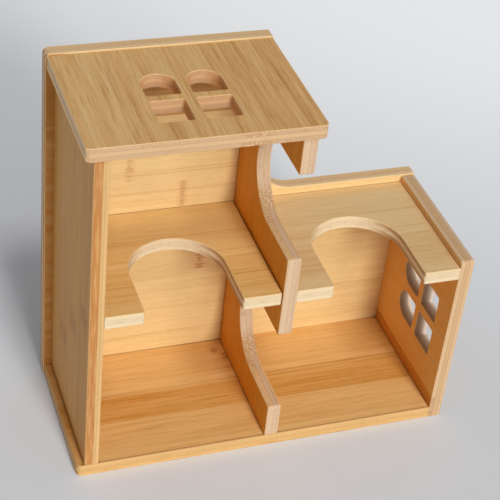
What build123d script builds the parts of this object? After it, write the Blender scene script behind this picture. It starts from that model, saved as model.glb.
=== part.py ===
"""Two-storey bamboo hamster house with open front, in millimetres, +Z up.

Eight bamboo boards stand on and against each other, and blind wooden pins
hold every joint. The origin is the centre of the footprint, on the ground.
X runs to the right and Y to the back, seen from the open front.
"""
from build123d import *
import os

os.makedirs("parts", exist_ok=True)

# Boards
board = 7.1              # thickness of the three-ply bamboo board
floor_depth = 77.5       # front edge of the rooms to the back panel

# Rooms and shelves
shelf_length = 87.0      # both shelves are cut to one length
shelf_wall_gap = 0.1     # open seam at the left wall
shelf_divider_gap = 0.7  # open seam at the divider, left shelf only
lower_room_height = 87.7
upper_room_height = 87.7

# Lips where one board stands past the next
side_lip = 3.9           # base and roof past the left wall, and roof past the divider
panel_lip = 0.7          # back panel past the roof, the base's left end and the right wall
roof_front_lip = 1.2     # roof past the front edge
terrace_lip = 3.7        # right wall above the right shelf

# Doorways: one round-backed slot in each shelf, two in the divider
door_width = 48.4
door_reach = 52.7        # front edge to the deepest point of the round end
mouth_corner = 1.2       # rounding where a doorway meets the front edge

# Windows: two square panes and two arched panes round a cross
pane_width = 16.6
square_pane_length = 17.3
arched_pane_length = 18.1
mullion = 5.4            # bar between left and right panes
transom = 4.6            # bar between square and arched panes
pane_corner = 1.2
roof_window_setback = 14.9    # roof's front edge to the window
wall_window_setback = 14.1    # right wall's front edge to the window
wall_window_drop = 1.1        # window below the right wall's mid-height

# Rounded corners and edges
step_radius = 20.0       # inner corner where the back panel steps down
panel_left_corner = 3.0  # back panel's corners behind the left wall
panel_right_corner = 1.5
roof_corner = 2.5        # front corners of the roof
base_corner = 3.0        # front left corner of the base
wall_corner = 2.0        # front top corner of the right wall
arris = 0.3              # chamfer along every edge of every board

# Pins that hold the boards together
pin_diameter = 3.0
pin_sides = 12           # pins and bores have many flat sides, which keeps the model light
pin_clearance = 0.05     # on the radius
pin_end_room = 0.4       # room for glue past each end of a pin
pin_chamfer = 0.3
face_bore = 4.5          # bore depth in the flat of a board
edge_bore = 8.5          # bore depth in the edge of a board
shelf_bore = 7.0         # bore depth of the pins that pass through the divider
pin_inset = 15.0         # pins to the front edge and to the back panel
panel_pin_inset = 20.0   # back panel's pins to the end of the board they hold

# Places across the width, from the back panel's left edge
shelf_gaps = shelf_wall_gap + shelf_divider_gap
total_width = 2 * panel_lip + side_lip + 3 * board + 2 * shelf_length + shelf_gaps
panel_left = -total_width / 2
base_left = panel_left + panel_lip
left_wall_x = base_left + side_lip
left_room_x = left_wall_x + board
left_shelf_x = left_room_x + shelf_wall_gap
divider_x = left_shelf_x + shelf_length + shelf_divider_gap
right_room_x = divider_x + board
right_wall_x = right_room_x + shelf_length
panel_right = right_wall_x + board + panel_lip
roof_right = right_room_x + side_lip
tower_right = roof_right + panel_lip

# Places in depth, with the box round the whole house centred on the origin
total_depth = roof_front_lip + floor_depth + board
roof_front_y = -total_depth / 2
front_y = roof_front_y + roof_front_lip
back_y = front_y + floor_depth

# Heights
floor_top = board
shelf_bottom = floor_top + lower_room_height
shelf_top = shelf_bottom + board
roof_bottom = shelf_top + upper_room_height
roof_top = roof_bottom + board
panel_top = roof_top + panel_lip
right_wall_top = shelf_top + terrace_lip
terrace_panel_top = right_wall_top + panel_lip

# Sketch planes of the upright boards: the drawing's X runs to the back
# on a wall, and to the right on the back panel, and its Y always runs up
def wall_plane(x):
    return Plane(origin=(x, 0, 0), x_dir=(0, 1, 0), z_dir=(1, 0, 0))


panel_plane = Plane(origin=(0, back_y + board, 0), x_dir=(1, 0, 0), z_dir=(0, -1, 0))


def box_face(low, high):
    """Rectangle between two opposite corners."""
    width = high[0] - low[0]
    height = high[1] - low[1]
    return Pos(low[0] + width / 2, low[1] + height / 2) * Rectangle(width, height)


def round_corners(face, places, radius):
    """Round the corners of a face that lie at the given places."""
    corners = [
        corner
        for corner in face.vertices()
        if any((Vector(*place) - corner.center()).length < 0.01 for place in places)
    ]
    return fillet(corners, radius)


def doorway():
    """Round-backed slot: its mouth lies on the drawing's X axis and it reaches along +Y."""
    radius = door_width / 2
    straight = door_reach - radius
    return box_face((-radius, 0), (radius, straight)) + Pos(0, straight) * Circle(radius)


def window():
    """Four panes: two square ones with their sill on the X axis, then two arched along +Y."""
    radius = pane_width / 2
    arch_sill = square_pane_length + transom
    spring = arch_sill + arched_pane_length - radius
    panes = Sketch()
    for side in (-1, 1):
        middle = side * (mullion + pane_width) / 2
        left = middle - radius
        right = middle + radius
        square = Pos(middle, square_pane_length / 2) * RectangleRounded(
            pane_width, square_pane_length, pane_corner
        )
        arched = box_face((left, arch_sill), (right, spring)) + Pos(middle, spring) * Circle(radius)
        arched = round_corners(arched, [(left, arch_sill), (right, arch_sill)], pane_corner)
        panes += square + arched
    return panes


def cut_board(plane, outline, thickness):
    """Board with the given outline, chamfered along all its edges."""
    solid = extrude(plane * outline, thickness)
    return chamfer(solid.edges(), arris)


def make_base_plate():
    outline = box_face((base_left, front_y), (right_wall_x, back_y))
    outline = round_corners(outline, [(base_left, front_y)], base_corner)
    return cut_board(Plane.XY, outline, board)


def make_back_panel():
    """Tall behind the tower, low behind the terrace, with a hollow round between them."""
    tower = box_face((panel_left, 0), (tower_right, panel_top))
    annex = box_face((tower_right, 0), (panel_right, terrace_panel_top))
    outline = tower + annex
    outline = round_corners(outline, [(tower_right, terrace_panel_top)], step_radius)
    left_corners = [(panel_left, 0), (panel_left, panel_top)]
    right_corners = [(tower_right, panel_top), (panel_right, terrace_panel_top), (panel_right, 0)]
    outline = round_corners(outline, left_corners, panel_left_corner)
    outline = round_corners(outline, right_corners, panel_right_corner)
    return cut_board(panel_plane, outline, board)


def make_left_wall():
    outline = box_face((front_y, floor_top), (back_y, roof_bottom))
    return cut_board(wall_plane(left_wall_x), outline, board)


def make_centre_divider():
    """Full-height board with one doorway on each storey, open to the front."""
    outline = box_face((front_y, floor_top), (back_y, roof_bottom))
    mouths = []
    for room_floor, room_height in ((floor_top, lower_room_height), (shelf_top, upper_room_height)):
        middle = room_floor + room_height / 2
        outline -= Pos(front_y, middle) * Rot(0, 0, -90) * doorway()
        mouths += [(front_y, middle - door_width / 2), (front_y, middle + door_width / 2)]
    outline = round_corners(outline, mouths, mouth_corner)
    return cut_board(wall_plane(divider_x), outline, board)


def make_right_wall():
    outline = box_face((front_y, 0), (back_y, right_wall_top))
    outline = round_corners(outline, [(front_y, right_wall_top)], wall_corner)
    window_height = right_wall_top / 2 - wall_window_drop
    outline -= Pos(front_y + wall_window_setback, window_height) * Rot(0, 0, -90) * window()
    return cut_board(wall_plane(right_wall_x), outline, board)


def make_shelf(left):
    """Shelf with a doorway through its front edge, as high as the storey's floor."""
    middle = left + shelf_length / 2
    outline = box_face((left, front_y), (left + shelf_length, back_y))
    outline -= Pos(middle, front_y) * doorway()
    mouth = [(middle - door_width / 2, front_y), (middle + door_width / 2, front_y)]
    outline = round_corners(outline, mouth, mouth_corner)
    return cut_board(Plane.XY.offset(shelf_bottom), outline, board)


def make_roof():
    outline = box_face((base_left, roof_front_y), (roof_right, back_y))
    outline = round_corners(outline, [(base_left, roof_front_y), (roof_right, roof_front_y)], roof_corner)
    middle = (base_left + roof_right) / 2
    outline -= Pos(middle, roof_front_y + roof_window_setback) * window()
    return cut_board(Plane.XY.offset(roof_bottom), outline, board)


boards = {
    "base_plate": make_base_plate(),
    "back_panel": make_back_panel(),
    "left_wall": make_left_wall(),
    "centre_divider": make_centre_divider(),
    "right_wall": make_right_wall(),
    "left_shelf": make_shelf(left_shelf_x),
    "right_shelf": make_shelf(right_room_x),
    "roof": make_roof(),
}

# Centre lines of the boards, where their pins lie
left_wall_mid = left_wall_x + board / 2
divider_mid = divider_x + board / 2
right_wall_mid = right_wall_x + board / 2
base_mid = floor_top / 2
shelf_mid = (shelf_bottom + shelf_top) / 2
roof_mid = (roof_bottom + roof_top) / 2
front_and_back = (front_y + pin_inset, back_y - pin_inset)

RIGHT = (1, 0, 0)
LEFT = (-1, 0, 0)
FRONT = (0, -1, 0)
UP = (0, 0, 1)
DOWN = (0, 0, -1)


def pin_row(low, high, count):
    """Evenly spaced places that keep the back panel's pin inset from both ends of a board."""
    first = low + panel_pin_inset
    last = high - panel_pin_inset
    return [first + (last - first) * index / (count - 1) for index in range(count)]


tower_rows = pin_row(floor_top, roof_bottom, 3)
left_shelf_columns = pin_row(left_shelf_x, left_shelf_x + shelf_length, 2)
right_shelf_columns = pin_row(right_room_x, right_wall_x, 2)

# Each joint: the board bored in its flat, the board bored in its edge, the way
# the pins point, the seam between the two boards, and the pins' places on the flat
joints = {
    "left_wall_foot_pins": (
        "base_plate", "left_wall", UP, 0,
        [(left_wall_mid, y, floor_top) for y in front_and_back],
    ),
    "divider_foot_pins": (
        "base_plate", "centre_divider", UP, 0,
        [(divider_mid, y, floor_top) for y in front_and_back],
    ),
    "right_wall_base_pins": (
        "right_wall", "base_plate", LEFT, 0,
        [(right_wall_x, y, base_mid) for y in front_and_back],
    ),
    "left_wall_shelf_pins": (
        "left_wall", "left_shelf", RIGHT, shelf_wall_gap,
        [(left_room_x, y, shelf_mid) for y in front_and_back],
    ),
    "right_wall_shelf_pins": (
        "right_wall", "right_shelf", LEFT, 0,
        [(right_wall_x, y, shelf_mid) for y in front_and_back],
    ),
    "left_wall_roof_pins": (
        "roof", "left_wall", DOWN, 0,
        [(left_wall_mid, y, roof_bottom) for y in front_and_back],
    ),
    "divider_roof_pins": (
        "roof", "centre_divider", DOWN, 0,
        [(divider_mid, y, roof_bottom) for y in front_and_back],
    ),
    "base_back_pins": (
        "back_panel", "base_plate", FRONT, 0,
        [(x, back_y, base_mid) for x in pin_row(base_left, right_wall_x, 3)],
    ),
    "left_wall_back_pins": (
        "back_panel", "left_wall", FRONT, 0,
        [(left_wall_mid, back_y, z) for z in tower_rows],
    ),
    "divider_back_pins": (
        "back_panel", "centre_divider", FRONT, 0,
        [(divider_mid, back_y, z) for z in tower_rows],
    ),
    "right_wall_back_pins": (
        "back_panel", "right_wall", FRONT, 0,
        [(right_wall_mid, back_y, z) for z in pin_row(0, right_wall_top, 2)],
    ),
    "left_shelf_back_pins": (
        "back_panel", "left_shelf", FRONT, 0,
        [(x, back_y, shelf_mid) for x in left_shelf_columns],
    ),
    "right_shelf_back_pins": (
        "back_panel", "right_shelf", FRONT, 0,
        [(x, back_y, shelf_mid) for x in right_shelf_columns],
    ),
    "roof_back_pins": (
        "back_panel", "roof", FRONT, 0,
        [(x, back_y, roof_mid) for x in pin_row(base_left, roof_right, 2)],
    ),
}


def rod(start, direction, length, radius):
    """Many-sided bar that starts at a point and runs along a direction."""
    return extrude(Plane(origin=start, z_dir=direction) * RegularPolygon(radius, pin_sides), length)


def pin_and_bore(place, direction, behind, ahead):
    """Pin across a joint, and the bore it fits, reaching behind and ahead of the place."""
    along = Vector(*direction)
    bore_start = Vector(*place) - along * behind
    bore_length = behind + ahead
    bore = rod(bore_start, along, bore_length, pin_diameter / 2 + pin_clearance)
    pin = rod(bore_start + along * pin_end_room, along, bore_length - 2 * pin_end_room, pin_diameter / 2)
    faces = pin.faces().sort_by(Axis(bore_start, along))
    pin = chamfer(faces[0].edges() + faces[-1].edges(), pin_chamfer)
    return pin, bore


pin_groups = {}
for joint_name, (flat_board, edge_board, direction, seam, places) in joints.items():
    pin_groups[joint_name] = []
    for place in places:
        pin, bore = pin_and_bore(place, direction, face_bore, seam + edge_bore)
        pin_groups[joint_name].append(pin)
        boards[flat_board] -= bore
        boards[edge_board] -= bore

# Two long pins pass right through the divider and hold both shelves to it
pin_groups["shelf_through_pins"] = []
for y in front_and_back:
    place = (divider_x, y, shelf_mid)
    pin, bore = pin_and_bore(place, RIGHT, shelf_divider_gap + shelf_bore, board + shelf_bore)
    pin_groups["shelf_through_pins"].append(pin)
    for name in ("left_shelf", "centre_divider", "right_shelf"):
        boards[name] -= bore

for name, solid in boards.items():
    export_step(solid, f"parts/{name}.step")
for name, pins in pin_groups.items():
    export_step(Compound(children=[pin.solid() for pin in pins]), f"parts/{name}.step")
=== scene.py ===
"""Looks of the bamboo hamster house: camera, soft studio light and bamboo materials."""
import math
from dataclasses import dataclass

import bpy
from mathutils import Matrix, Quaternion, Vector


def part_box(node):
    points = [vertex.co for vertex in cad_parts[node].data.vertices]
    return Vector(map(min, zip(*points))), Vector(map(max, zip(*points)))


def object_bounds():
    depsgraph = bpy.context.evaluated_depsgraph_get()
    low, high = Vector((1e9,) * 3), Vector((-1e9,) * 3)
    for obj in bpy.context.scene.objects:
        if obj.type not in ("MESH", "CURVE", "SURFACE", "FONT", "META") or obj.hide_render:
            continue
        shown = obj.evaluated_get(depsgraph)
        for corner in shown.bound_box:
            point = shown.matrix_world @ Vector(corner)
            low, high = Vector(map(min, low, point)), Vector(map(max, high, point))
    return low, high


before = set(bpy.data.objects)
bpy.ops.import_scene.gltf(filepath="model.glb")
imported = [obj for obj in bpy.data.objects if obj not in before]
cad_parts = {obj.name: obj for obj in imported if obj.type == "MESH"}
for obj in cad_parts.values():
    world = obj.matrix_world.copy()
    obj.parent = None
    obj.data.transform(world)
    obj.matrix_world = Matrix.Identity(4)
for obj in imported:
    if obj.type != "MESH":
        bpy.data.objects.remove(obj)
cad_low, cad_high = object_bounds()
house_centre = (cad_low + cad_high) / 2

MM_PER_M = 1000.0
LOW, HIGH = 0, 1             # corners of a box

# Camera of the photograph
CAMERA_PLACE = Vector((-0.2233, -0.5357, 0.5343))
CAMERA_AZIMUTH = 22.46       # degrees to the right of the view along +Y
CAMERA_ELEVATION = 37.16     # degrees that it looks down
CAMERA_ROLL = 6.70
CAMERA_SENSOR = 36.0         # mm
CAMERA_LENS = 104.33         # mm
CAMERA_SHIFT = (-0.0073, 0.0055)

# Studio, lit from a tall window in front of the house and a little to its right
FLOOR_SIZE = 6.0
FLOOR_COLOUR = (233, 237, 242)
# Floor paler towards the back: painted light
FLOOR_PAINTED_LIGHT_COLOUR = (250, 252, 254)
FLOOR_PAINTED_LIGHT_REACH = 0.35            # painted light: from the middle of the house to where the floor is palest
FLOOR_ROUGHNESS = 0.9
GLOW_STRENGTH = 0.16         # of the far right of the floor, for the camera alone
GLOW_DIRECTION = (0.8, 0.5)  # weights of the way to the right and of the way to the back
GLOW_REACH = (0.05, 0.45)    # weighted way from the middle of the house to where it starts and is full
WORLD_COLOUR = (243, 246, 252)
WORLD_STRENGTH = 0.28
BACKDROP_STRENGTH = 0.85     # of the same world where the camera sees it past the floor
WINDOW_AZIMUTH = 6.0         # degrees to the right, seen from the front
WINDOW_PANES = ((16.0, 0.83), (27.0, 0.83), (60.0, 0.78))    # elevation and strength of each
WINDOW_SPREAD = 12.0         # degrees, seen from the house
WINDOW_COLOUR = (255, 253, 250)

# Noise in the bamboo: its scale along the fibres and across them, per mm, and its detail
NOISE_MEAN = 0.5
NOISE_ROUGHNESS = 0.55
CELL_RANDOMNESS = 0.9
BROAD = (0.006, 0.16, 3.0)
MIDDLING = (0.014, 0.45, 2.0)
FINE = (0.035, 1.1, 3.0)
FLECK = (0.22, 1.3, 1.0)
PORE = (0.06, 1.9, 1.0)
BUNDLE = (0.03, 1.0)
BUNDLE_EDGE = (0.15, 0.42)   # from the middle of a bundle, in cells
LINE_WAVES = 0.03            # along the fibres
KNOT_WAVES = 0.9             # across them
KNOT_GAPS = 1.6
BLOTCH = (0.6, 0.055, 0.3)   # through the board, along the fibres and across them
BLOTCH_DETAIL = 3.0

# Fibres and strips
FIBRE_COLOUR = (150, 98, 52)
STREAK_SHARE = 0.7           # of the bands
BUNDLE_SHADE = 0.1
DARK_FIBRES = (0.58, 0.70)
DARK_FIBRE_SHADE = 0.25
DARK_PORES = (0.60, 0.72)
OTHER_EVENNESS = 0.7         # how alike the strips are in a last ply that has its own colours
SEAM_WIDTH = 0.3             # mm, shade on each side of a seam between two strips
SEAM_COLOUR = (140, 92, 50)
SEAM_SHADE = 0.2
SEAM_SHADE_ON_CUTS = 0.15
GLUE_WIDTH = 0.35            # mm, shade on each side of a seam between two plies

# Marks on the faces, and painted shade on them
AMBER_COLOUR = (186, 116, 36)
AMBER_BANDS = (0.3, 0.6)
KNOT_COLOUR = (176, 92, 40)
KNOT_TINT = (214, 140, 88)
KNOT_TINT_SHARE = 0.25
KNOT_TINT_REACH = 3.5        # half lengths
KNOT_SHIFT = 37.0            # mm, from the joints of the first ply to those of the last
KNOT_LENGTHS = (0.3, 1.5)    # half lengths of the shortest dash and of the longest one
KNOT_WANDER = (0.3, 0.7)     # noise that makes the shortest dash and the longest one
KNOT_GAP_EDGE = (0.42, 0.62)
KNOT_GAP_SHADE = 0.15        # strength of a dash in the gaps
KNOT_BLUR = 0.8              # mm
KNOT_BORDER = 1.5            # mm, at the sides of its strip
# Painted shade at the low end of an inner face, beside the left wall
PAINTED_END_SHADE_COLOUR = (200, 136, 60)
PAINTED_END_SHADE_EDGE = 0.6             # share of its length that has the full strength
PAINTED_END_SHADE_BANDS = (0.3, 0.7)
PAINTED_END_SHADE_LEAST = 0.75           # strength where the bands are palest
# Painted shade in corners and along edges of an inner face
CREASE_SHADE_COLOUR = (134, 70, 16)
CREASE_SHADE_STRENGTH = 0.5
CREASE_SHADE_CORE = 0.25           # share of its reach that has the full strength

# Cut edges
END_GRAIN = (0.5, 0.95)      # how far a cut faces along the fibres, from a side cut to an end cut
END_ON_CORE = 0.1            # share of the end's colour on the middle ply
CUT_TONE = 0.48              # tone of a strip whose cut end has the plain colour
CUT_STREAKS = 0.7
CUT_FIBRES = 0.5
BLOTCH_COLOUR = (182, 112, 54)
DARK_BLOTCHES = (0.46, 0.66)
PALE_BLOTCHES = (0.50, 0.32)
DOT_COLOUR = (250, 230, 190)
DOT_GROUND_COLOUR = (190, 134, 82)
DOT_GROUND_SHARE = 0.4
DOT_CORE = 0.6               # share of the half width that has the full strength
DOT_CUTS = (0.2, 0.55)       # how far a cut faces along the fibres
RIM_WIDTH = 12.0             # mm, cuts closer than this to the edge of a board aren't panes
PANE_SHADE_AND_LIGHT_DEPTHS = (0.1, 0.8)     # shares of the thickness between which the painted shade and light in a window change

# Surface
FACE_NORMALS = (0.5, 0.9)    # how far a place faces along the thickness, from a cut to a face
ARRIS_NORMALS = (0.3, 0.6, 0.8, 0.95)    # the same, for no wear and highlight, full from and to, and none again
WEAR_AND_HIGHLIGHT_BANDS = (0.35, 0.65)
ARRIS_WEAR_AND_HIGHLIGHT = (0.3, 0.8)      # least and most, over those bands
FINE_RANGE = (0.25, 0.75)
ROUGHNESS = (0.46, 0.62)
SPECULAR = 0.22
BUMP_FIBRES = 0.6
BUMP_SEAMS = 0.8
BUMP_STRENGTH = 0.25
BUMP_HEIGHT = 0.00008        # m

# Pins
PIN_COLOURS = ((236, 208, 158), (206, 168, 112))
PIN_GRAIN = (0.3, 0.7)
PIN_GRAIN_SCALE = 900.0      # per m
PIN_ROUGHNESS = 0.6


def linear(colour):
    """Scene colour, with alpha, of a colour given as it looks, 0 to 255."""
    shares = [value / 255 for value in colour]
    flat = [c / 12.92 if c <= 0.04045 else ((c + 0.055) / 1.055) ** 2.4 for c in shares]
    return (*flat, 1.0)


class Shader:
    """One material, with short calls for the nodes that it needs."""

    def __init__(self, name):
        self.material = bpy.data.materials.new(name)
        self.material.use_nodes = True
        self.tree = self.material.node_tree
        self.surface = self.tree.nodes["Principled BSDF"]

    def put(self, socket, value):
        if isinstance(value, bpy.types.NodeSocket):
            self.tree.links.new(value, socket)
        else:
            socket.default_value = value

    def node(self, kind, values, **settings):
        made = self.tree.nodes.new(kind)
        for setting, value in settings.items():
            setattr(made, setting, value)
        for socket, value in values.items():
            self.put(made.inputs[socket], value)
        return made

    def math(self, operation, first, second=0.0, clamp=False):
        made = self.node("ShaderNodeMath", {0: first, 1: second}, operation=operation, use_clamp=clamp)
        return made.outputs[0]

    def add(self, first, second):
        return self.math("ADD", first, second)

    def subtract(self, first, second):
        return self.math("SUBTRACT", first, second)

    def times(self, first, second):
        return self.math("MULTIPLY", first, second)

    def absolute(self, value):
        return self.math("ABSOLUTE", value)

    def off(self, value, place):
        """Distance of a value from a place."""
        return self.absolute(self.subtract(value, place))

    def swing(self, noise, strength):
        """Noise about zero."""
        return self.times(self.subtract(noise, NOISE_MEAN), strength)

    def fade(self, value, low, high, at_low, at_high):
        """Smooth step from one value to another."""
        values = {"Value": value, "From Min": low, "From Max": high, "To Min": at_low, "To Max": at_high}
        return self.node("ShaderNodeMapRange", values, interpolation_type="SMOOTHSTEP").outputs[0]

    def rise(self, value, low, high, top=1.0):
        """Smooth step up from zero."""
        return self.fade(value, low, high, 0.0, top)

    def fall(self, value, low, high, top=1.0):
        """Smooth step down to zero."""
        return self.fade(value, low, high, top, 0.0)

    def vector(self, x, y, z):
        return self.node("ShaderNodeCombineXYZ", {0: x, 1: y, 2: z}).outputs[0]

    def parts(self, vector):
        return self.node("ShaderNodeSeparateXYZ", {0: vector}).outputs

    def scale(self, vector, scale):
        return self.node("ShaderNodeVectorMath", {0: vector, "Scale": scale}, operation="SCALE").outputs[0]

    def noise(self, vector, detail=2.0):
        values = {"Vector": vector, "Scale": 1.0, "Detail": detail, "Roughness": NOISE_ROUGHNESS}
        return self.node("ShaderNodeTexNoise", values).outputs["Fac"]

    def cells(self, vector):
        values = {"Vector": vector, "Scale": 1.0, "Randomness": CELL_RANDOMNESS}
        return self.node("ShaderNodeTexVoronoi", values).outputs["Distance"]

    def mix(self, share, first, second):
        made = self.node("ShaderNodeMix", {}, data_type="RGBA")
        self.put(made.inputs["Factor"], share)
        self.put(made.inputs[6], first)
        self.put(made.inputs[7], second)
        return made.outputs[2]

    def steps(self, value, stops, interpolation="CONSTANT"):
        """Grey or colour that changes at given places of a value from 0 to 1."""
        made = self.node("ShaderNodeValToRGB", {"Fac": value})
        ramp = made.color_ramp
        ramp.interpolation = interpolation
        while len(ramp.elements) < len(stops):
            ramp.elements.new(1.0)
        for element, (place, shade) in zip(ramp.elements, stops):
            element.position = place
            element.color = shade if isinstance(shade, tuple) else (shade, shade, shade, 1.0)
        return made.outputs[0]


@dataclass
class CreaseShade:
    """Painted shade: a dark line on the inner face of a board, along a face of another board or of its own,
    where the corner or edge lies in shade.
    """
    axis: str
    neighbour: str
    corner: int              # LOW or HIGH face of that board along the axis
    reach: float             # mm
    between: tuple = ()      # boards that the line runs between, if it stops short
    inset: float = 0.0       # mm past that face


@dataclass
class Board:
    """How one board was cut, in mm from its lowest corner, and the colours of its bamboo."""
    grain: str               # axis that the fibres of the outer plies follow
    cross: str               # axis over which the strips lie side by side
    through: str             # axis of the thickness
    strips: tuple            # start and tone of each strip, 0 pale to 1 dark
    face: tuple              # pale, middle and dark bamboo
    edges: tuple             # cut edges beside the fibres, for each ply
    end: tuple               # cut ends of the fibres
    plies: tuple = (0.33, 0.67)    # seams between the plies, as shares of the thickness
    glue: float = 0.2        # shade of those seams
    ply_shift: float = 6.0   # strips of the last ply against those of the first
    lines: tuple = ()        # amber fibres: place across the grain, half width, strength
    knots: tuple = ()        # bamboo joints: place along, from and to across, half length, strength
    dots: tuple = ()         # open fibre ends on a cut: place across, half width, strength
    other: tuple = ()        # pale, middle and dark bamboo of the last ply, where it differs
    bands: float = 0.6       # how uneven the tone is, in broad bands
    fibres: float = 0.5      # and in fine fibres
    flecks: float = 0.2      # short dashes along the fibres
    pores: float = 0.1       # fine dark dashes
    blotches: float = 0.0    # strength of the patches on the cut edge of the first ply
    inner_last: bool = False    # the inner face is that of the last ply and not the first
    painted_end_shade: tuple = ()        # painted shade: darker low end of the inner face, beside the left wall: length and strength
    crease_shades: tuple = ()      # painted shade lines on the inner face, along corners and edges
    pane_shade_and_light: tuple = ()        # painted shade and light in a window: colours at first and last ply, their share, and that on its sides
    # colour of arrises with wear, partly a painted highlight
    arris_wear_and_highlight: tuple = (248, 220, 170)
    wear_and_highlight: float = 0.7        # how far the arrises have that colour: wear, partly a painted highlight


GOLD = ((250, 220, 160), (238, 204, 142), (206, 158, 90))
HONEY = ((248, 216, 154), (237, 194, 122), (210, 152, 68))
AMBER = ((238, 180, 82), (222, 150, 46), (190, 110, 22))
OUTSIDE = ((240, 196, 128), (226, 171, 99), (184, 125, 63))
SHELF_EDGES = ((246, 223, 184), (243, 218, 178), (245, 219, 177))

BOARDS = {
    "roof": Board(
        "Y", "X", "Z", ((0, 0.46), (10, 0.35), (30, 0.50), (50, 0.46), (70, 0.50), (90, 0.56)),
        face=((244, 208, 148), (229, 180, 115), (194, 132, 66)),
        edges=((250, 208, 150), (226, 187, 142), (250, 208, 150)), end=(218, 179, 137),
        lines=((12.0, 0.7, 0.3), (25.0, 0.4, 0.3), (44.0, 0.3, 0.25), (50.0, 0.4, 0.3),
               (57.0, 0.4, 0.3), (70.0, 0.4, 0.25), (86.0, 0.5, 0.2), (101.0, 0.5, 0.25)),
        dots=((76.5, 9.0, 0.9),), bands=1.0, fibres=0.7, pores=0.35, wear_and_highlight=0.5,
        # painted shade in the windows of the roof
        pane_shade_and_light=((196, 112, 16), (196, 112, 16), 0.2, 0.5),
    ),
    "back_panel": Board(
        "X", "Z", "Y",
        # the dark strip from 158 mm is painted shade under the roof
        ((0, 0.44), (19, 0.36), (39, 0.34), (58, 0.42), (78, 0.38), (98, 0.16), (118, 0.26),
         (138, 0.22), (158, 0.95), (177, 0.50)),
        face=GOLD, edges=((243, 207, 160), (238, 200, 150), (240, 202, 150)), end=(186, 130, 72), glue=0.08,
        lines=((113.5, 1.4, 0.2), (124.0, 0.6, 0.35), (83.0, 0.5, 0.25), (36.0, 0.5, 0.25)),
        knots=((71.0, 102, 119, 1.3, 0.58), (42.5, 120, 136, 1.6, 0.35), (83.5, 59, 76, 2.2, 0.75)),
        other=OUTSIDE, bands=0.9, fibres=0.3, flecks=0.45, painted_end_shade=(11.0, 1.0), wear_and_highlight=1.0,
        crease_shades=(
            CreaseShade("X", "centre_divider", LOW, 0.5, ("base_plate", "roof")),
            CreaseShade("X", "centre_divider", HIGH, 0.5, ("base_plate", "roof")),
            CreaseShade("Z", "base_plate", HIGH, 0.6, ("left_wall", "centre_divider")),
            CreaseShade("Z", "left_shelf", HIGH, 0.4, ("left_wall", "right_wall")),
        ),
    ),
    "left_wall": Board(
        "Z", "Y", "X", ((0, 0.58), (20.5, 0.50), (41, 0.52), (61.5, 0.54)),
        face=((238, 190, 114), (222, 161, 83), (180, 117, 52)),
        edges=((208, 145, 82), (230, 186, 124), (236, 192, 130)), end=(214, 168, 112),
        plies=(0.58, 0.77),
        knots=((88, 3, 18, 6.0, 0.6), (67, 23, 39, 6.0, 0.6), (44, 43, 59, 6.0, 0.5)),
        bands=0.5, fibres=0.15, blotches=0.42,
    ),
    "centre_divider": Board(
        "Z", "Y", "X", ((0, 0.50), (12, 0.52), (32, 0.49), (52, 0.52), (72, 0.50)), face=AMBER,
        edges=((228, 195, 158), (224, 190, 155), (224, 190, 156)), end=(230, 190, 140),
        plies=(0.48, 0.80), dots=((39.0, 10.5, 0.9),), other=OUTSIDE, bands=0.3, fibres=0.2,
    ),
    "right_wall": Board(
        "Y", "Z", "X", ((0, 0.78), (14, 0.34), (34, 0.36), (54, 0.40), (74, 0.44), (94, 0.05)),
        face=((238, 192, 130), (236, 168, 76), (190, 108, 20)),
        edges=((226, 190, 148), (218, 178, 130), (224, 190, 152)), end=(226, 188, 146),
        glue=0.30, ply_shift=2.0, other=OUTSIDE, bands=0.5, fibres=0.2,
        # painted shade at the inner side of the windows, painted light towards the outer side
        pane_shade_and_light=((132, 82, 42), (255, 240, 224), 0.6, 0.0),
    ),
    "left_shelf": Board(
        "X", "Y", "Z", ((0, 0.50), (19.5, 0.56), (39.5, 0.36), (60, 0.14)), face=HONEY,
        edges=SHELF_EDGES, end=(206, 164, 114), glue=0.08,
        lines=((19.5, 0.8, 0.5), (38.5, 1.0, 0.35), (9.0, 0.5, 0.2), (52.0, 0.6, 0.25)),
        fibres=0.35, wear_and_highlight=0.4,
    ),
    "right_shelf": Board(
        "X", "Y", "Z", ((0, 0.44), (17.5, 0.58), (39.5, 0.44), (60, 0.46)),
        face=((248, 224, 176), (238, 200, 143), (204, 152, 88)),
        edges=SHELF_EDGES, end=(206, 164, 114), glue=0.08,
        lines=((17.5, 0.4, 0.5), (39.5, 0.35, 0.4)), fibres=0.3, wear_and_highlight=0.4,
    ),
    "base_plate": Board(
        "X", "Y", "Z", ((0, 0.48), (11.5, 0.50), (32, 0.80), (49.5, 0.60), (52, 0.46), (72, 0.50)),
        face=((248, 214, 151), (237, 190, 121), (210, 145, 55)),
        edges=((236, 190, 124), (230, 184, 118), (234, 190, 126)), end=(196, 146, 88), glue=0.05,
        lines=((33.0, 0.6, 0.4), (36.0, 0.5, 0.3), (42.0, 0.4, 0.3), (46.0, 1.4, 0.5), (59.0, 0.6, 0.2)),
        knots=((92.5 + KNOT_SHIFT, 66, 73, 1.6, 0.85), (97.3 + KNOT_SHIFT, 60, 67, 1.4, 0.9)),
        blotches=0.35, inner_last=True, painted_end_shade=(6.0, 0.7), arris_wear_and_highlight=(206, 158, 104),
        crease_shades=(
            CreaseShade("Y", "base_plate", LOW, 0.9, inset=0.5),
            CreaseShade("X", "left_wall", LOW, 1.6),
            CreaseShade("X", "left_wall", HIGH, 1.2),
            CreaseShade("X", "centre_divider", LOW, 1.1),
            CreaseShade("X", "centre_divider", HIGH, 1.2),
            CreaseShade("X", "right_wall", LOW, 1.2),
        ),
    ),
}


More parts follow.
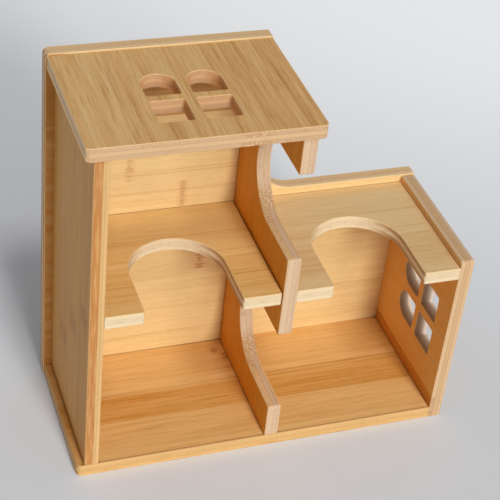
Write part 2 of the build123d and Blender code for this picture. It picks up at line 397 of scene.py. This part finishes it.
class Bamboo(Shader):
    """Three-ply bamboo board as one solid texture, so that faces, edges and cut-outs agree."""

    def __init__(self, name, board, low, high):
        super().__init__(name)
        self.board = board
        self.low = low
        coordinates = self.node("ShaderNodeTexCoord", {})
        from_corner = self.node("ShaderNodeVectorMath", {0: coordinates.outputs["Object"], 1: low},
                                operation="SUBTRACT")
        self.place = self.parts(self.scale(from_corner.outputs[0], MM_PER_M))
        self.along, self.across, self.depth = (self.place[axis] for axis in self.axes())
        self.normal = self.parts(coordinates.outputs["Normal"])
        extent = (high - low) * MM_PER_M
        self.length, self.width, self.thickness = (extent["XYZ".index(axis)] for axis in self.axes())
        self.lay_plies()
        self.grow_fibres()
        self.glue_strips()

    def axes(self):
        return self.board.grain, self.board.cross, self.board.through

    def lay_plies(self):
        """The fibres of the middle ply lie across those of the outer two."""
        self.share = self.math("DIVIDE", self.depth, self.thickness)
        self.past_first, self.past_second = (self.math("GREATER_THAN", self.share, joint)
                                             for joint in self.board.plies)
        self.in_first = self.subtract(1.0, self.past_first)
        self.in_core = self.subtract(self.past_first, self.past_second)
        self.in_outer = self.subtract(1.0, self.in_core)
        self.run = self.add(self.times(self.along, self.in_outer), self.times(self.across, self.in_core))
        self.beside = self.add(self.times(self.across, self.in_outer), self.times(self.along, self.in_core))

    def grained(self, along, across):
        """Place that is stretched along the fibres of its ply."""
        return self.vector(self.times(self.run, along), self.times(self.beside, across),
                           self.times(self.depth, across))

    def fibre_noise(self, along, across, detail):
        return self.noise(self.grained(along, across), detail)

    def grow_fibres(self):
        """From broad bands to single bundles."""
        self.broad = self.fibre_noise(*BROAD)
        self.middling = self.fibre_noise(*MIDDLING)
        self.fine = self.fibre_noise(*FINE)
        self.bundles = self.fall(self.cells(self.grained(*BUNDLE)), *BUNDLE_EDGE)

    def glue_strips(self):
        """Strips side by side, each with its own tone, and the seams between them."""
        board = self.board
        lane = self.add(self.across, self.times(self.past_second, board.ply_shift))
        stops = [(start / self.width, tone) for start, tone in board.strips]
        self.strip_tone = self.steps(self.math("DIVIDE", lane, self.width), stops)
        if board.other:
            less = self.times(self.past_second, self.swing(self.strip_tone, OTHER_EVENNESS))
            self.strip_tone = self.subtract(self.strip_tone, less)
        seam = 0.0
        for start, _ in board.strips[1:]:
            seam = self.math("MAXIMUM", seam, self.fall(self.off(lane, start), 0.0, SEAM_WIDTH))
        self.seam = self.times(seam, self.in_outer)

    def face_of(self, neighbour, corner, axis):
        """Place of a face of any board, in mm from this board's lowest corner."""
        from_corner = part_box(neighbour)[corner] - self.low
        return from_corner["XYZ".index(axis)] * MM_PER_M

    def faces(self):
        """Colour of the faces."""
        board = self.board
        tone = self.strip_tone
        for noise, strength in ((self.broad, board.bands), (self.middling, board.bands * STREAK_SHARE),
                                (self.fine, board.fibres), (self.fibre_noise(*FLECK), board.flecks)):
            tone = self.add(tone, self.swing(noise, strength))
        sides = []
        for palette in (board.face, board.other or board.face):
            pale, middle, dark = (linear(colour) for colour in palette)
            sides.append(self.steps(tone, [(0.0, pale), (0.5, middle), (1.0, dark)], "LINEAR"))
        wood = self.mix(self.past_second, *sides)
        shades = (
            self.times(self.bundles, BUNDLE_SHADE * board.fibres),
            self.rise(self.fine, *DARK_FIBRES, DARK_FIBRE_SHADE * board.fibres),
            self.rise(self.fibre_noise(*PORE), *DARK_PORES, board.pores),
        )
        for shade in shades:
            wood = self.mix(shade, wood, linear(FIBRE_COLOUR))
        wood = self.mix(self.times(self.seam, SEAM_SHADE), wood, linear(SEAM_COLOUR))
        for line in board.lines:
            wood = self.amber_line(wood, *line)
        for knot in board.knots:
            wood = self.knot(wood, *knot)
        in_inner = self.past_second if board.inner_last else self.in_first
        # painted shade at the low end of the inner face, beside the left wall
        if board.painted_end_shade:
            wood = self.paint_end_shade(wood, in_inner, *board.painted_end_shade)
        # painted shade in the corners where boards meet
        for crease_shade in board.crease_shades:
            wood = self.paint_crease_shade(wood, in_inner, crease_shade)
        return wood

    def amber_line(self, wood, centre, half_width, strength):
        wander = self.noise(self.vector(self.times(self.along, LINE_WAVES), centre, 0.0))
        wavy = self.add(self.across, self.times(wander, half_width * 2))
        off = self.off(wavy, centre + half_width)
        fibre = self.times(self.fall(off, 0.0, half_width), self.rise(self.broad, *AMBER_BANDS))
        return self.mix(self.times(fibre, strength), wood, linear(AMBER_COLOUR))

    def knot(self, wood, place, low, high, half_length, strength):
        """Bamboo joint: uneven short dashes side by side across one strip, and the tint round them."""
        shortest, longest = KNOT_LENGTHS
        run = self.add(self.along, self.times(self.past_second, KNOT_SHIFT))
        wander = self.noise(self.vector(self.times(self.across, KNOT_WAVES), place, low))
        reach = self.fade(wander, *KNOT_WANDER, half_length * shortest, half_length * longest)
        off = self.off(run, self.add(self.times(wander, half_length), place - half_length / 2))
        dash = self.fall(self.subtract(off, reach), -KNOT_BLUR, KNOT_BLUR)
        gaps = self.noise(self.vector(self.times(self.across, KNOT_GAPS), high, place))
        dashes = self.times(dash, self.fade(gaps, *KNOT_GAP_EDGE, KNOT_GAP_SHADE, 1.0))
        inside = self.times(self.rise(self.across, low, low + KNOT_BORDER),
                            self.fall(self.across, high - KNOT_BORDER, high))
        here = self.times(inside, strength)
        tint = self.times(self.fall(off, half_length, half_length * KNOT_TINT_REACH, KNOT_TINT_SHARE), here)
        tinted = self.mix(tint, wood, linear(KNOT_TINT))
        return self.mix(self.times(dashes, here), tinted, linear(KNOT_COLOUR))

    def paint_end_shade(self, wood, in_inner, length, strength):
        """Painted shade: darker stretch at the low end of the inner face, beside the left wall."""
        painted_end_shade = self.times(self.fall(self.along, length * PAINTED_END_SHADE_EDGE, length, strength), in_inner)
        uneven = self.fade(self.broad, *PAINTED_END_SHADE_BANDS, PAINTED_END_SHADE_LEAST, 1.0)
        return self.mix(self.times(painted_end_shade, uneven), wood, linear(PAINTED_END_SHADE_COLOUR))

    def paint_crease_shade(self, wood, in_inner, crease_shade):
        # painted shade along a corner where boards meet, or along an edge
        joint = self.face_of(crease_shade.neighbour, crease_shade.corner, crease_shade.axis) + crease_shade.inset
        off = self.off(self.place[crease_shade.axis], joint)
        line = self.fall(off, crease_shade.reach * CREASE_SHADE_CORE, crease_shade.reach, CREASE_SHADE_STRENGTH)
        shade = self.times(line, in_inner)
        if crease_shade.between:
            axis = self.board.cross if crease_shade.axis == self.board.grain else self.board.grain
            first, last = crease_shade.between
            past_first = self.math("GREATER_THAN", self.place[axis], self.face_of(first, HIGH, axis))
            before_last = self.math("LESS_THAN", self.place[axis], self.face_of(last, LOW, axis))
            shade = self.times(shade, self.times(past_first, before_last))
        return self.mix(shade, wood, linear(CREASE_SHADE_COLOUR))

    def cuts(self):
        """Colour of the cut edges: each ply has its own, darker where fibres end."""
        board = self.board
        first, core, last = (linear(colour) for colour in board.edges)
        cut = self.mix(self.past_second, self.mix(self.past_first, first, core), last)
        outer_end = self.times(self.normal[board.grain], self.in_outer)
        core_end = self.times(self.normal[board.cross], self.in_core)
        along_end = self.absolute(self.add(outer_end, core_end))
        end_grain = self.rise(along_end, *END_GRAIN)
        end_share = self.add(self.times(self.in_outer, 1 - END_ON_CORE), END_ON_CORE)
        cut = self.mix(self.times(end_grain, end_share), cut, linear(board.end))
        blocks = self.times(self.times(self.subtract(self.strip_tone, CUT_TONE), self.in_outer), end_grain)
        shade = self.add(self.swing(self.middling, CUT_STREAKS), self.swing(self.fine, CUT_FIBRES))
        cut = self.mix(self.math("ADD", shade, blocks, clamp=True), cut, linear(FIBRE_COLOUR))
        if board.blotches:
            cut = self.blotched(cut)
        in_pane = self.inside_rim() if board.pane_shade_and_light else 0.0
        for dots in board.dots:
            cut = self.dotted(cut, along_end, in_pane, *dots)
        # painted shade and light in the windows
        if board.pane_shade_and_light:
            cut = self.paint_pane_shade_and_light(cut, in_pane, *board.pane_shade_and_light)
        glue = self.times(self.fall(self.off_glue(), 0.0, GLUE_WIDTH), board.glue)
        seams = self.math("MAXIMUM", glue, self.times(self.seam, SEAM_SHADE_ON_CUTS))
        return self.mix(seams, cut, linear(SEAM_COLOUR))

    def blotched(self, cut):
        """Dark and pale patches on the first ply."""
        through, along, across = BLOTCH
        place = self.vector(self.times(self.depth, through), self.times(self.along, along),
                            self.times(self.across, across))
        blotch = self.noise(place, BLOTCH_DETAIL)
        for colour, edge in ((BLOTCH_COLOUR, DARK_BLOTCHES), (self.board.edges[2], PALE_BLOTCHES)):
            patch = self.rise(blotch, *edge, self.board.blotches)
            cut = self.mix(self.times(patch, self.in_first), cut, linear(colour))
        return cut

    def inside_rim(self):
        """1 on the cuts of a window, and 0 close to the board's own edge."""
        to_side = self.math("MINIMUM", self.across, self.subtract(self.width, self.across))
        to_end = self.math("MINIMUM", self.along, self.subtract(self.length, self.along))
        return self.rise(self.math("MINIMUM", to_side, to_end), RIM_WIDTH / 2, RIM_WIDTH)

    def dotted(self, cut, along_end, in_pane, centre, half_width, strength):
        """Open ends of the fibres, as pale dots on a darker ground."""
        near = self.fall(self.off(self.across, centre), half_width * DOT_CORE, half_width)
        open_ends = self.times(self.times(near, self.rise(along_end, *DOT_CUTS)), self.subtract(1.0, in_pane))
        cut = self.mix(self.times(open_ends, DOT_GROUND_SHARE * strength), cut, linear(DOT_GROUND_COLOUR))
        return self.mix(self.times(self.times(open_ends, self.bundles), strength), cut, linear(DOT_COLOUR))

    def paint_pane_shade_and_light(self, cut, in_pane, at_first, at_last, strength, at_sides):
        """Painted shade and light on the cuts of a window."""
        tint = self.mix(self.rise(self.share, *PANE_SHADE_AND_LIGHT_DEPTHS), linear(at_first), linear(at_last))
        sides = self.times(self.absolute(self.normal[self.board.cross]), at_sides)
        return self.mix(self.times(self.math("MAXIMUM", sides, strength), in_pane), cut, tint)

    def off_glue(self):
        """Distance from the nearer seam between two plies, in mm."""
        shares = [self.off(self.share, joint) for joint in self.board.plies]
        return self.times(self.math("MINIMUM", *shares), self.thickness)

    def finish(self):
        """Faces and cuts together, arrises with wear and a painted highlight, and a sanded surface without
        varnish.
        """
        board = self.board
        facing = self.absolute(self.normal[board.through])
        wood = self.mix(self.fall(facing, *FACE_NORMALS), self.faces(), self.cuts())
        # arrises lighter with wear and a painted highlight
        cut_side, cut_full, face_full, face_side = ARRIS_NORMALS
        arris_wear_and_highlight = self.times(self.rise(facing, cut_side, cut_full), self.fall(facing, face_full, face_side))
        least, most = ARRIS_WEAR_AND_HIGHLIGHT
        wear_and_highlight = self.fade(self.broad, *WEAR_AND_HIGHLIGHT_BANDS, least * board.wear_and_highlight, most * board.wear_and_highlight)
        wood = self.mix(self.times(arris_wear_and_highlight, wear_and_highlight), wood, linear(board.arris_wear_and_highlight))
        self.put(self.surface.inputs["Base Color"], wood)
        self.put(self.surface.inputs["Roughness"], self.fade(self.fine, *FINE_RANGE, *ROUGHNESS))
        self.surface.inputs["Specular IOR Level"].default_value = SPECULAR
        height = self.subtract(self.times(self.fine, BUMP_FIBRES), self.times(self.seam, BUMP_SEAMS))
        values = {"Height": height, "Strength": BUMP_STRENGTH, "Distance": BUMP_HEIGHT}
        self.put(self.surface.inputs["Normal"], self.node("ShaderNodeBump", values).outputs[0])
        return self.material


def pin_wood():
    """Pale turned wood of the hidden pins."""
    s = Shader("pin_wood")
    place = s.node("ShaderNodeTexCoord", {}).outputs["Object"]
    grain = s.noise(s.scale(place, PIN_GRAIN_SCALE))
    stops = [(share, linear(colour)) for share, colour in zip(PIN_GRAIN, PIN_COLOURS)]
    s.put(s.surface.inputs["Base Color"], s.steps(grain, stops, "LINEAR"))
    s.surface.inputs["Roughness"].default_value = PIN_ROUGHNESS
    return s.material


def dress(node, material):
    """Give a CAD node its finish."""
    slots = node.material_slots
    if not slots:
        node.data.materials.append(material)
    for material_slot in slots:
        material_slot.material = material


def dress_house():
    """Bamboo for each board, and pin wood for all the rest."""
    pins = pin_wood()
    for name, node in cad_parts.items():
        if name in BOARDS:
            dress(node, Bamboo(f"bamboo_{name}", BOARDS[name], *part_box(name)).finish())
        else:
            dress(node, pins)


def make_floor():
    mesh = bpy.data.meshes.new("floor")
    half = FLOOR_SIZE / 2
    corners = [(-half, -half, 0), (half, -half, 0), (half, half, 0), (-half, half, 0)]
    mesh.from_pydata(corners, [], [(0, 1, 2, 3)])
    floor = bpy.data.objects.new("floor", mesh)
    bpy.context.scene.collection.objects.link(floor)
    s = Shader("studio_floor")
    x, y, _ = s.parts(s.node("ShaderNodeTexCoord", {}).outputs["Object"])
    # painted light: the floor is paler towards the back
    painted_back_light = s.rise(y, 0.0, FLOOR_PAINTED_LIGHT_REACH)
    s.put(s.surface.inputs["Base Color"], s.mix(painted_back_light, linear(FLOOR_COLOUR), linear(FLOOR_PAINTED_LIGHT_COLOUR)))
    to_right, to_back = GLOW_DIRECTION
    glow = s.rise(s.add(s.times(x, to_right), s.times(y, to_back)), *GLOW_REACH, GLOW_STRENGTH)
    seen = s.node("ShaderNodeLightPath", {}).outputs["Is Camera Ray"]
    s.surface.inputs["Emission Color"].default_value = linear(FLOOR_PAINTED_LIGHT_COLOUR)
    s.put(s.surface.inputs["Emission Strength"], s.times(glow, seen))
    s.surface.inputs["Roughness"].default_value = FLOOR_ROUGHNESS
    mesh.materials.append(s.material)


def make_window_light():
    azimuth = math.radians(WINDOW_AZIMUTH)
    for index, (elevation, strength) in enumerate(WINDOW_PANES):
        light = bpy.data.lights.new(f"window_{index}", "SUN")
        light.energy = strength
        light.angle = math.radians(WINDOW_SPREAD)
        light.color = linear(WINDOW_COLOUR)[:3]
        lamp = bpy.data.objects.new(f"window_{index}", light)
        bpy.context.scene.collection.objects.link(lamp)
        rise = math.radians(elevation)
        flat = math.cos(rise)
        to_window = Vector((math.sin(azimuth) * flat, -math.cos(azimuth) * flat, math.sin(rise)))
        lamp.location = house_centre + to_window
        lamp.rotation_mode = "QUATERNION"
        lamp.rotation_quaternion = to_window.to_track_quat("Z", "Y")


def make_world():
    world = bpy.data.worlds.new("studio")
    world.use_nodes = True
    tree = world.node_tree
    background = tree.nodes["Background"]
    background.inputs["Color"].default_value = linear(WORLD_COLOUR)
    background.inputs["Strength"].default_value = WORLD_STRENGTH
    backdrop = tree.nodes.new("ShaderNodeBackground")
    backdrop.inputs["Color"].default_value = linear(WORLD_COLOUR)
    backdrop.inputs["Strength"].default_value = BACKDROP_STRENGTH
    choice = tree.nodes.new("ShaderNodeMixShader")
    tree.links.new(tree.nodes.new("ShaderNodeLightPath").outputs["Is Camera Ray"], choice.inputs["Fac"])
    tree.links.new(background.outputs[0], choice.inputs[1])
    tree.links.new(backdrop.outputs[0], choice.inputs[2])
    tree.links.new(choice.outputs[0], tree.nodes["World Output"].inputs["Surface"])
    bpy.context.scene.world = world


def make_camera():
    data = bpy.data.cameras.new("camera")
    data.sensor_width = CAMERA_SENSOR
    data.lens = CAMERA_LENS
    data.shift_x, data.shift_y = CAMERA_SHIFT
    camera = bpy.data.objects.new("camera", data)
    bpy.context.scene.collection.objects.link(camera)
    azimuth = math.radians(CAMERA_AZIMUTH)
    elevation = math.radians(CAMERA_ELEVATION)
    flat = math.cos(elevation)
    sight = Vector((math.sin(azimuth) * flat, math.cos(azimuth) * flat, -math.sin(elevation)))
    roll = Quaternion((0, 0, 1), math.radians(CAMERA_ROLL))
    camera.location = CAMERA_PLACE
    camera.rotation_mode = "QUATERNION"
    camera.rotation_quaternion = sight.to_track_quat("-Z", "Y") @ roll
    bpy.context.scene.camera = camera


dress_house()
make_floor()
make_window_light()
make_world()
make_camera()
bpy.context.scene.view_settings.view_transform = "Standard"
